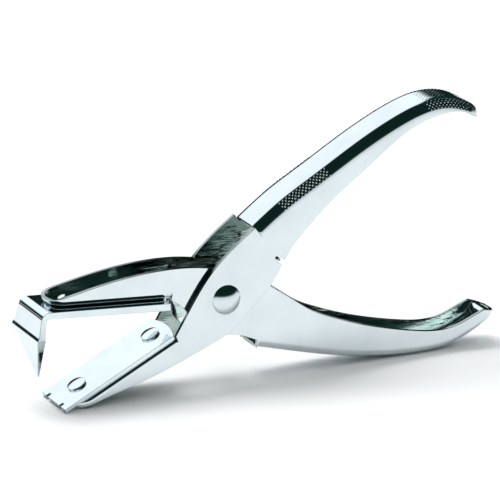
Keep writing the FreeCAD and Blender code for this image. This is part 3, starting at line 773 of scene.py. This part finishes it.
def plain_piece(draft, name, body, replaced):
    evaluated = draft.evaluated_get(bpy.context.evaluated_depsgraph_get())
    piece = bpy.data.objects.new(name, bpy.data.meshes.new_from_object(evaluated))
    piece.data.name = name
    bpy.context.scene.collection.objects.link(piece)
    bpy.data.objects.remove(draft)
    if replaced:
        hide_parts(*replaced)
    if body:
        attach(piece, body)
    print(name, len(piece.data.vertices), "vertices")
    return piece


ROUNDED = [("BEVEL", {"width": EDGE_ROUND, "segments": 2, "limit_method": "WEIGHT",
                      "use_clamp_overlap": False, "material": 1}),
           ("WEIGHTED_NORMAL", {"keep_sharp": True, "weight": 100})]
print("modifiers of a lever:", [kind for kind, values in ROUNDED])

# %% [markdown]
# With all the steps of the recipe ready, each lever is one call. Its outside is mirror chrome, its
# sheared rims are duller, and the insides of the channels have their own wavy plating, painted
# darker in the outer lever as painted shade and brighter in the inner lever as painted light.

# %% Levers
outer_piece = finished("outer_lever_shell", lever_sheet(OUTER), [CHROME, DULL_RIM_AND_SHADE, PAINTED_SHADE_INSIDE], "outer",
                       ["outer_lever"], ROUNDED)
inner_piece = finished("inner_lever_shell", lever_sheet(INNER), [CHROME, DULL_RIM_AND_SHADE, PAINTED_LIGHT_INSIDE], "inner",
                       ["inner_lever"], ROUNDED)

# %% [markdown]
# The lower handle's sheet is folded back inside its tip. It could be a second sheet with a real
# fold, but only its top is ever seen. So it is a ramp from the web up to just below the free edge,
# and its underside is buried in the sheet.

# %% Folded tip
LIP_REACH, LIP_COLUMNS, LIP_ROWS = 9.0, 12, 16
LIP_LOW, LIP_BELOW_EDGE, LIP_BURIED = 0.4, 0.5, 0.6


def lip_mesh(shape):
    """The sheet folded back inside a handle's tip, as a ramp from the web up to the free edge."""
    mesh = bmesh.new()
    mesh.verts.layers.float_vector.new("inside")
    edge = np.vstack([smooth_line(shape["edge"]), shape["handle_tail"]])
    web = Web(smooth_line(shape["back"]), shape["handle_out"], edge)
    corner, half = shape["corner"], shape["width"] / 2
    grid = []
    for i in range(LIP_COLUMNS + 1):
        share = i / LIP_COLUMNS
        s = web.length - SHEET - LIP_REACH * (1 - share)
        past = max(0.0, s - (web.length - corner))
        width = half - corner + math.sqrt(max(0.0, corner ** 2 - past ** 2)) - SHEET
        rise = (3 * share ** 2 - 2 * share ** 3) * max(LIP_LOW, web.depth(s) - SHEET - LIP_BELOW_EDGE)
        row = []
        for k in range(LIP_ROWS + 1):
            y = width * (2 * k / LIP_ROWS - 1)
            x, z = web.point(s) - web.normal(s) * (SHEET + rise)
            low_x, low_z = web.point(s) - web.normal(s) * LIP_BURIED * SHEET
            row.append(sheet_vertex(mesh, (x, y, z), (low_x, y, low_z)))
        grid.append(row)
    for first, second in zip(grid, grid[1:]):
        for k in range(LIP_ROWS):
            mesh.faces.new((first[k], second[k], second[k + 1], first[k + 1]))
    mesh.normal_update()
    if sum(face.normal.z for face in mesh.faces) < 0:
        bmesh.ops.reverse_faces(mesh, faces=mesh.faces)
    thickened(mesh)
    return mesh


lip_piece = finished("handle_lip", lip_mesh(INNER), [CHROME, CHROME, CHROME], "inner", [], [])

# %% [markdown]
# The upper handle is knurled in two zones, so that it doesn't slip. On the real tool a roller
# presses the dots into the sheet. Here they are planted: loose points on the handle's surface
# say where each dot stands, and two stored directions say how it is turned.

# %% Knurl points
KNURL_PITCH, KNURL_BASE, KNURL_RISE = 1.4, 0.40, 0.17
KNURL_ZONES = [(18.0, 34.0, 0.38, 0.85), (69.0, 87.0, 1.0, 0.62)]
KNURL_DEPTH, KNURL_MARGIN = 0.82, 0.5


def knurl_points(low, high, share):
    """Loose points on the handle between two places, over a share of its half width from the wall
    inwards, with their outward and lengthwise ways."""
    web, bend, half = UPPER_WEB, OUTER["bend"], OUTER["width"] / 2
    places, outs, alongs = [], [], []
    around = half - bend + bend * math.pi / 2 * KNURL_DEPTH
    rows = int(around / (KNURL_PITCH / 2))
    stops = np.arange(0, web.length - OUTER["corner"] - KNURL_MARGIN, KNURL_PITCH / 2)
    for i, s in enumerate(stops):
        if not low <= web.point(s)[0] <= high:
            continue
        for row in range(-rows, rows + 1):
            t = row * KNURL_PITCH / 2
            if (i + row) % 2 or abs(t) < around * (1 - share):
                continue
            angle = max(0.0, abs(t) - (half - bend)) / bend
            side = math.copysign(1, t)
            across = min(abs(t), half - bend) + bend * math.sin(angle)
            normal = web.normal(s)
            at = web.point(s) - normal * bend * (1 - math.cos(angle))
            places.append(PIVOT + Vector((at[0], side * across, at[1])) * MM)
            outs.append((normal[0] * math.cos(angle), side * math.sin(angle), normal[1] * math.cos(angle)))
            alongs.append((normal[1], 0.0, -normal[0]))
    data = bpy.data.meshes.new("knurl_points")
    data.from_pydata(places, [], [])
    for name, values in (("out", outs), ("along", alongs)):
        layer = data.attributes.new(name, "FLOAT_VECTOR", "POINT")
        layer.data.foreach_set("vector", np.array(values, float).ravel())
    return data


print("the knurl has", len(KNURL_ZONES), "zones, its rows", KNURL_PITCH / 2, "mm apart")

# %% [markdown]
# One dot is a low pyramid with a flat top. Its foot goes a little below the surface, so that no gap
# shows where the surface is curved.

# %% Knurl dot
DOT_FOOT, DOT_TOP = -0.1, 0.35


def pyramid():
    """A low pyramid with a flat top, its corners pointing along and across the handle."""
    mesh = bmesh.new()
    rings = []
    for size, height in ((KNURL_BASE, DOT_FOOT), (KNURL_BASE, 0.0), (KNURL_BASE * DOT_TOP, KNURL_RISE)):
        corners = ((size, 0), (0, size), (-size, 0), (0, -size))
        rings.append([mesh.verts.new(Vector((x, y, height)) * MM) for x, y in corners])
    for lower, upper in zip(rings, rings[1:]):
        for k in range(4):
            n = (k + 1) % 4
            mesh.faces.new((lower[k], lower[n], upper[n], upper[k]))
    mesh.faces.new(rings[-1])
    mesh.faces.new(rings[0][::-1])
    data = bpy.data.meshes.new("knurl_dot")
    mesh.to_mesh(data)
    mesh.free()
    dot = bpy.data.objects.new("knurl_dot", data)
    bpy.context.scene.collection.objects.link(dot)
    return dot


print("a dot rises", KNURL_RISE, "mm")

# %% [markdown]
# Hundreds of equal dots are a job for Geometry Nodes: an instance of the dot on each point, turned to
# stand on the surface, made real and given its material. The dot, its size and its material are
# inputs, so that the same tree plants both zones.

# %% Planting tree
def planting_tree():
    tree = bpy.data.node_groups.new("plant_on_surface", "GeometryNodeTree")
    group_socket(tree, "Geometry", "INPUT", "NodeSocketGeometry")
    group_socket(tree, "Template", "INPUT", "NodeSocketObject")
    group_socket(tree, "Scale", "INPUT", "NodeSocketFloat", 1.0)
    group_socket(tree, "Material", "INPUT", "NodeSocketMaterial")
    group_socket(tree, "Geometry", "OUTPUT", "NodeSocketGeometry")
    start, end = tree.nodes.new("NodeGroupInput"), tree.nodes.new("NodeGroupOutput")
    template = tree.nodes.new("GeometryNodeObjectInfo")
    planted = tree.nodes.new("GeometryNodeInstanceOnPoints")
    turned = tree.nodes.new("FunctionNodeAxesToRotation")
    turned.primary_axis, turned.secondary_axis = "Z", "X"
    for name, socket in (("out", turned.inputs[0]), ("along", turned.inputs[1])):
        named = tree.nodes.new("GeometryNodeInputNamedAttribute")
        named.data_type = "FLOAT_VECTOR"
        named.inputs["Name"].default_value = name
        tree.links.new(named.outputs["Attribute"], socket)
    real = tree.nodes.new("GeometryNodeRealizeInstances")
    painted = tree.nodes.new("GeometryNodeSetMaterial")
    link_chain(tree, start.outputs["Geometry"], planted.inputs["Points"],
               start.outputs["Template"], template.inputs["Object"],
               template.outputs["Geometry"], planted.inputs["Instance"],
               turned.outputs[0], planted.inputs["Rotation"],
               start.outputs["Scale"], planted.inputs["Scale"],
               planted.outputs[0], real.inputs[0], real.outputs[0], painted.inputs["Geometry"],
               start.outputs["Material"], painted.inputs["Material"],
               painted.outputs[0], end.inputs["Geometry"])
    return tree


PLANTING = planting_tree()
print("inputs:", [item.name for item in PLANTING.interface.items_tree if item.in_out == "INPUT"])

# %% [markdown]
# The tree's result is copied into a plain mesh, which rides on the upper handle's body. The dots at
# the tip are finer than those in the middle.

# %% Knurl
def make_knurl(name, tree, zone, scale):
    dot = pyramid()
    draft = bpy.data.objects.new("knurl_draft", knurl_points(*zone))
    bpy.context.scene.collection.objects.link(draft)
    modifier = draft.modifiers.new("plant", "NODES")
    modifier.node_group = tree
    sockets = {item.name: item.identifier for item in tree.interface.items_tree if item.in_out == "INPUT"}
    modifier[sockets["Template"]] = dot
    modifier[sockets["Scale"]] = scale
    modifier[sockets["Material"]] = CHROME
    piece = plain_piece(draft, name, "outer", [])
    bpy.data.objects.remove(dot)


for name, (*zone, scale) in zip(("knurl_middle", "knurl_tip"), KNURL_ZONES):
    make_knurl(name, PLANTING, zone, scale)

# %% [markdown]
# The claw is a thick strip folded down into a face that is ground to a point. Its side view is a
# chain of corners, and its half width depends only on height, so the two flanks are the same
# chain mirrored. A narrow ramp at the crease and another at the shoulders are real geometry, because
# they lean back further than the face does, which draws the two dark lines across it.

# %% Claw outline
CREASE, SHOULDER, POINT = (-64.1, 2.0), (-65.6, -4.0), (-60.9, -19.3)
BACK_TOP, BACK_SHOULDER, BACK_POINT = (-62.3, 1.4), (-62.9, -4.0), (-60.5, -19.3)
FOLD_RADIUS, FOLD_STEPS, FOLD_GAP, BACK_FOLD = 3.0, 13, 0.1, 0.9
RAMP_SLOPE, CREASE_RAMP, SHOULDER_RAMP = 25.0, 0.9, 1.7
CLAW_HALVES = [(-19.3, 0.25), (-4.0, 9.5), (2.0, 8.4), (20.0, 8.4)]


def claw_half(z):
    heights, halves = zip(*CLAW_HALVES)
    return float(np.interp(z, heights, halves))


def polar(start, angle, distance):
    turn = math.radians(angle)
    return (start[0] + distance * math.cos(turn), start[1] + distance * math.sin(turn))


def arc_through(first, middle, last, steps):
    """Points on the circle through three points, from the first to the last."""
    (x1, y1), (x2, y2), (x3, y3) = first, middle, last
    matrix = np.array([[x2 - x1, y2 - y1], [x3 - x1, y3 - y1]])
    right = np.array([x2 ** 2 - x1 ** 2 + y2 ** 2 - y1 ** 2, x3 ** 2 - x1 ** 2 + y3 ** 2 - y1 ** 2]) / 2
    centre = np.linalg.solve(matrix, right)
    angles = [math.degrees(math.atan2(y - centre[1], x - centre[0])) % 360 for x, y in (first, last)]
    return arc_points(centre, math.dist(centre, first), *angles, steps)


print("half width at the shoulder:", claw_half(SHOULDER[1]), "mm")

# %% [markdown]
# A flat strip could be bent by a modifier, but the real claw narrows to its point and is ground thin
# there. So the chain's front and back are joined into strips, and the flanks close them. Edges beside
# the ramps stay sharp in the shading, or the ramps would melt into the faces.

# %% Claw plate
def claw_mesh():
    mesh = bmesh.new()
    top_rear = polar(CLAW_REAR, 90 - CLAW_TILT, CLAW_THICK)
    fold_top = (CREASE[0] + FOLD_RADIUS, strip_line(CREASE[0] + FOLD_RADIUS))
    inset = FOLD_RADIUS * (1 - math.cos(math.radians(45)))
    fold = arc_through(fold_top, (CREASE[0] + inset, fold_top[1] - inset), CREASE, FOLD_STEPS)
    under_z = strip_line(BACK_TOP[0]) - CLAW_THICK / math.cos(math.radians(CLAW_TILT))
    # Each ramp ends at the corner that it belongs to.
    crease_top = polar(CREASE, 90 - RAMP_SLOPE, CREASE_RAMP)
    shoulder_top = polar(SHOULDER, 90 - RAMP_SLOPE, SHOULDER_RAMP)
    fold = [point for point in fold if point[1] > crease_top[1] + FOLD_GAP]
    face = [top_rear] + fold + [crease_top, CREASE, shoulder_top, SHOULDER, POINT]
    back = [CLAW_REAR, (BACK_TOP[0] + BACK_FOLD, under_z), BACK_TOP, BACK_SHOULDER, BACK_POINT]

    def pair(point):
        half = claw_half(point[1])
        return [vertex(mesh, point[0], side * half, point[1]) for side in (-1, 1)]

    face_pairs, back_pairs = [pair(point) for point in face], [pair(point) for point in back]
    for chain in (face_pairs, back_pairs):
        for (a, b), (c, d) in zip(chain, chain[1:]):
            mesh.faces.new((a, b, d, c))
    for (a, b), (c, d) in ((face_pairs[0], back_pairs[0]), (face_pairs[-1], back_pairs[-1])):
        mesh.faces.new((a, b, d, c))
    crease = len(fold) + 2
    shoulder = crease + 2
    flanks = [(face_pairs[:2], back_pairs[:2]), (face_pairs[1:crease + 1], back_pairs[1:3]),
              (face_pairs[crease:shoulder + 1], back_pairs[2:4]), (face_pairs[shoulder:], back_pairs[3:])]
    for front, rear in flanks:
        for k in (0, 1):
            mesh.faces.new([item[k] for item in front] + [item[k] for item in rear[::-1]])
    for first, second in face_pairs[crease - 1:crease + 1] + face_pairs[shoulder - 1:shoulder + 1]:
        mesh.edges.get((first, second)).smooth = False
    bmesh.ops.recalc_face_normals(mesh, faces=mesh.faces)
    return mesh


EASED_ANGLE = math.radians(34)


def eased(width, material):
    """Modifiers that round the sharp edges. Material -1 takes that of the faces beside them."""
    bevel = {"width": width * MM, "segments": 2, "limit_method": "ANGLE", "angle_limit": EASED_ANGLE,
             "use_clamp_overlap": False, "material": material}
    return [("BEVEL", bevel), ("WEIGHTED_NORMAL", {"keep_sharp": True, "weight": 100})]


FINE_EDGE = eased(0.10, 1)
claw_piece = finished("claw", claw_mesh(), [PLATE, DULL_RIM_AND_SHADE], "inner", ["claw_plate"], FINE_EDGE)

# %% [markdown]
# The anvil plate is a flat strip with a bowed rear end and two slots in front. It could be a box cut
# with booleans, but one outline face, thickened and with its edges eased, keeps the mesh clean.

# %% Anvil plate
PLATE_HALF, ANVIL_LENGTH, BOW_STEPS = 8.4, 41.4, 17
REAR_BULGE, SLOT_AT, SLOT_HALF, SLOT_DEPTH = 1.8, 4.6, 0.6, 1.4


def on_anvil(along, across, up=0.0):
    """A point by its distance from the plate's rear edge, across it and above its top."""
    x, z = polar(ANVIL_REAR, 180 + ANVIL_TILT, along)
    x, z = polar((x, z), 90 + ANVIL_TILT, up)
    return PIVOT + Vector((x, across, z)) * MM


def anvil_mesh():
    mesh = bmesh.new()
    bow = arc_through((0, -PLATE_HALF), (-REAR_BULGE, 0), (0, PLATE_HALF), BOW_STEPS)
    if bow[BOW_STEPS // 2][0] > 0:
        raise RuntimeError("the plate's rear end bows the wrong way")
    front = []
    for slot in (SLOT_AT, -SLOT_AT):
        for along, across in ((0, 1), (1, 1), (1, -1), (0, -1)):
            front.append((ANVIL_LENGTH - along * SLOT_DEPTH, slot + across * SLOT_HALF))
    outline = bow + [(ANVIL_LENGTH, PLATE_HALF)] + front + [(ANVIL_LENGTH, -PLATE_HALF)]
    mesh.faces.new([mesh.verts.new(on_anvil(along, across)) for along, across in outline])
    mesh.normal_update()
    for face in mesh.faces:
        if face.normal.z < 0:
            face.normal_flip()
    return mesh


anvil_piece = finished("anvil", anvil_mesh(), [PLATE, DULL_RIM_AND_SHADE], "outer", ["anvil_plate"],
                       [("SOLIDIFY", {"thickness": ANVIL_THICK * MM, "offset": -1.0,
                                      "material_offset_rim": 0})] + FINE_EDGE)

# %% [markdown]
# A rivet is round with a formed head at each end. It could be a cylinder with a bevel, but a half
# outline spun about an axis gives each head its own curve, and one function then makes them all.

# %% Turned shapes
TURN_STEPS = 72


def dome(radius, base, height, steps=12):
    """Half outline of a spherical cap, from its rim to its crown."""
    ball = (radius ** 2 + height ** 2) / (2 * abs(height))
    full = math.asin(radius / ball)
    sign = math.copysign(1, height)
    return [(ball * math.sin(full * (1 - k / steps)),
             base + height - sign * ball * (1 - math.cos(full * (1 - k / steps)))) for k in range(steps + 1)]


def turned_mesh(outline, place, rim=None):
    """outline is (radius, height) pairs; place moves the axis from Z to where it belongs. The faces
    between the two heights of rim get the second material, which on the anvil's buttons is painted shade."""
    mesh = bmesh.new()
    rings = []
    for radius, height in outline:
        if radius < 1e-6:
            rings.append([mesh.verts.new(place @ Vector((0, 0, height * MM)))])
            continue
        ring = []
        for k in range(TURN_STEPS):
            a = 2 * math.pi * k / TURN_STEPS
            spot = Vector((radius * math.cos(a), radius * math.sin(a), height)) * MM
            ring.append(mesh.verts.new(place @ spot))
        rings.append(ring)
    for lower, upper, (_, low), (_, high) in zip(rings, rings[1:], outline, outline[1:]):
        in_dark_band = rim is not None and rim[0] <= low and high <= rim[1]
        for k in range(TURN_STEPS):
            n = (k + 1) % TURN_STEPS
            corners = [lower[k % len(lower)], lower[n % len(lower)]]
            corners += [upper[n % len(upper)], upper[k % len(upper)]]
            unique = [v for i, v in enumerate(corners) if v not in corners[:i]]
            mesh.faces.new(unique).material_index = int(in_dark_band)
    bmesh.ops.recalc_face_normals(mesh, faces=mesh.faces)
    return mesh


print("a turned piece has", TURN_STEPS, "sides")

# %% [markdown]
# The pivot has a domed head on both sides. The anvil's buttons are flat with a steep rim, and the
# claw's pins are countersunk below. The sleeve needs no more than the CAD mesh and its own steel.

# %% Rivets
TURNED = eased(0.08, -1)
BUTTON_PLACES, PIN_PLACES = (("rear", 4.3), ("front", 32.4)), (("rear", 6.5), ("front", 32.5))
ALONG_Y = Matrix.Translation(PIVOT) @ Matrix.Rotation(math.radians(-90), 4, "X")
HALF_WIDTH, HEAD, HEAD_RISE, RIM_RISE, SHANK = 7.6, 4.8, 2.2, 0.3, 2.5


def pivot_outline():
    top = HALF_WIDTH + RIM_RISE
    upper = [(SHANK, HALF_WIDTH), (HEAD, HALF_WIDTH)] + dome(HEAD, top, HEAD_RISE - RIM_RISE)
    return [(radius, -height) for radius, height in upper[::-1]] + upper


def placed_on_anvil(along):
    turn = Matrix.Rotation(math.radians(-ANVIL_TILT), 4, "Y")
    return Matrix.Translation(on_anvil(along, 0)) @ turn


def placed_on_strip(along):
    top_rear = polar(CLAW_REAR, 90 - CLAW_TILT, CLAW_THICK)
    x, z = polar(top_rear, 180 - CLAW_TILT, along)
    turn = Matrix.Rotation(math.radians(CLAW_TILT), 4, "Y")
    return Matrix.Translation(PIVOT + Vector((x, 0, z)) * MM) @ turn


BUTTON = [(0, -3.4), (2.5, -3.4), (2.5, -2.4), (1.5, -2.4), (1.5, 0), (2.8, 0)] + dome(3.0, 0.65, 0.35)
CLAW_PIN = [(0, -2.2), (2.6, -2.2), (1.5, -1.1), (1.5, 1.2), (2.5, 1.2)] + dome(2.5, 1.5, 1.1)
pivot_piece = finished("pivot", turned_mesh(pivot_outline(), ALONG_Y), [CHROME, DULL_RIM_AND_SHADE], "outer",
                       ["pivot_rivet"], TURNED)
for label, along in BUTTON_PLACES:
    # The steep side of each button's head takes the dull rim metal as painted shade, a dark ring round the
    # head.
    button = turned_mesh(BUTTON, placed_on_anvil(along), (0, 0.65))
    piece = finished("anvil_button_" + label, button, [PLATE, DULL_RIM_AND_SHADE], "outer", ["anvil_rivet_" + label], TURNED)
for label, along in PIN_PLACES:
    piece = finished("claw_pin_" + label, turned_mesh(CLAW_PIN, placed_on_strip(along)), [PLATE], "inner",
                     ["claw_rivet_" + label], TURNED)
sleeve = frame["nodes"]["spacer_sleeve"]
sleeve.data.materials.clear()
sleeve.data.materials.append(SLEEVE)
print("the sleeve keeps its mesh of", len(sleeve.data.polygons), "faces")

# %% [markdown]
# The return spring is one length of wire: a hooked leg, a coil round the sleeve and a straight
# leg. A curve with a round bevel gives it an even section.

# %% Spring path
WIRE, COIL_RADIUS, COIL_PITCH, COIL_TURNS = 0.55, 3.9, 1.15, 4
HOOK_AT, LEG_END, HOOK_Y, HOOK_BEND = NOTCH["bottom"], (19.0, -18.25), -8.4, 1.2
STEPS_PER_TURN, HOOK_STEPS, WIRE_ROUNDNESS = 40, 8, 5


def tangent_angle(point, side):
    """Where on the coil a straight leg to the point leaves it."""
    return math.atan2(point[1], point[0]) + side * math.acos(COIL_RADIUS / math.hypot(*point))


def spring_points():
    start, finish = tangent_angle(HOOK_AT, 1), tangent_angle(LEG_END, -1)
    turns = COIL_TURNS + ((finish - start) % (2 * math.pi)) / (2 * math.pi)
    half = COIL_PITCH * turns / 2
    slope = COIL_PITCH / (2 * math.pi * COIL_RADIUS)
    coil = []
    steps = int(turns * STEPS_PER_TURN)
    for k in range(steps + 1):
        a = start + 2 * math.pi * turns * k / steps
        y = -half + 2 * half * k / steps
        coil.append(Vector((COIL_RADIUS * math.cos(a), y, COIL_RADIUS * math.sin(a))))
    near_reach = math.dist((coil[0].x, coil[0].z), HOOK_AT) * slope
    far_reach = math.dist((coil[-1].x, coil[-1].z), LEG_END) * slope
    corner = Vector((HOOK_AT[0], -half - near_reach, HOOK_AT[1]))
    back = (coil[0] - corner).normalized()
    out = Vector((0, -1, 0))
    centre = corner + (back + out) * HOOK_BEND
    hook = [Vector((HOOK_AT[0], HOOK_Y, HOOK_AT[1]))]
    for k in range(HOOK_STEPS + 1):
        a = math.pi / 2 * k / HOOK_STEPS
        hook.append(centre - back * HOOK_BEND * math.cos(a) - out * HOOK_BEND * math.sin(a))
    tail = Vector((LEG_END[0], half + far_reach, LEG_END[1]))
    return hook + coil + [tail], half


print("the wire's path has", len(spring_points()[0]), "points")

# %% [markdown]
# The path becomes a curve with a round bevel, and then a plain mesh.

# %% Return spring
def make_spring():
    points, half = spring_points()
    curve = bpy.data.curves.new("spring_wire", "CURVE")
    curve.dimensions = "3D"
    curve.bevel_depth = WIRE * MM
    curve.bevel_resolution = WIRE_ROUNDNESS
    curve.use_fill_caps = True
    spline = curve.splines.new("POLY")
    spline.points.add(len(points) - 1)
    for slot, point in zip(spline.points, points):
        slot.co = (*(PIVOT + point * MM), 1.0)
    curve.materials.append(SPRING)
    holder = bpy.data.objects.new("spring_draft", curve)
    bpy.context.scene.collection.objects.link(holder)
    piece = plain_piece(holder, "wound_spring", None, ["return_spring"])
    for polygon in piece.data.polygons:
        polygon.use_smooth = True
    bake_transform(piece)


make_spring()
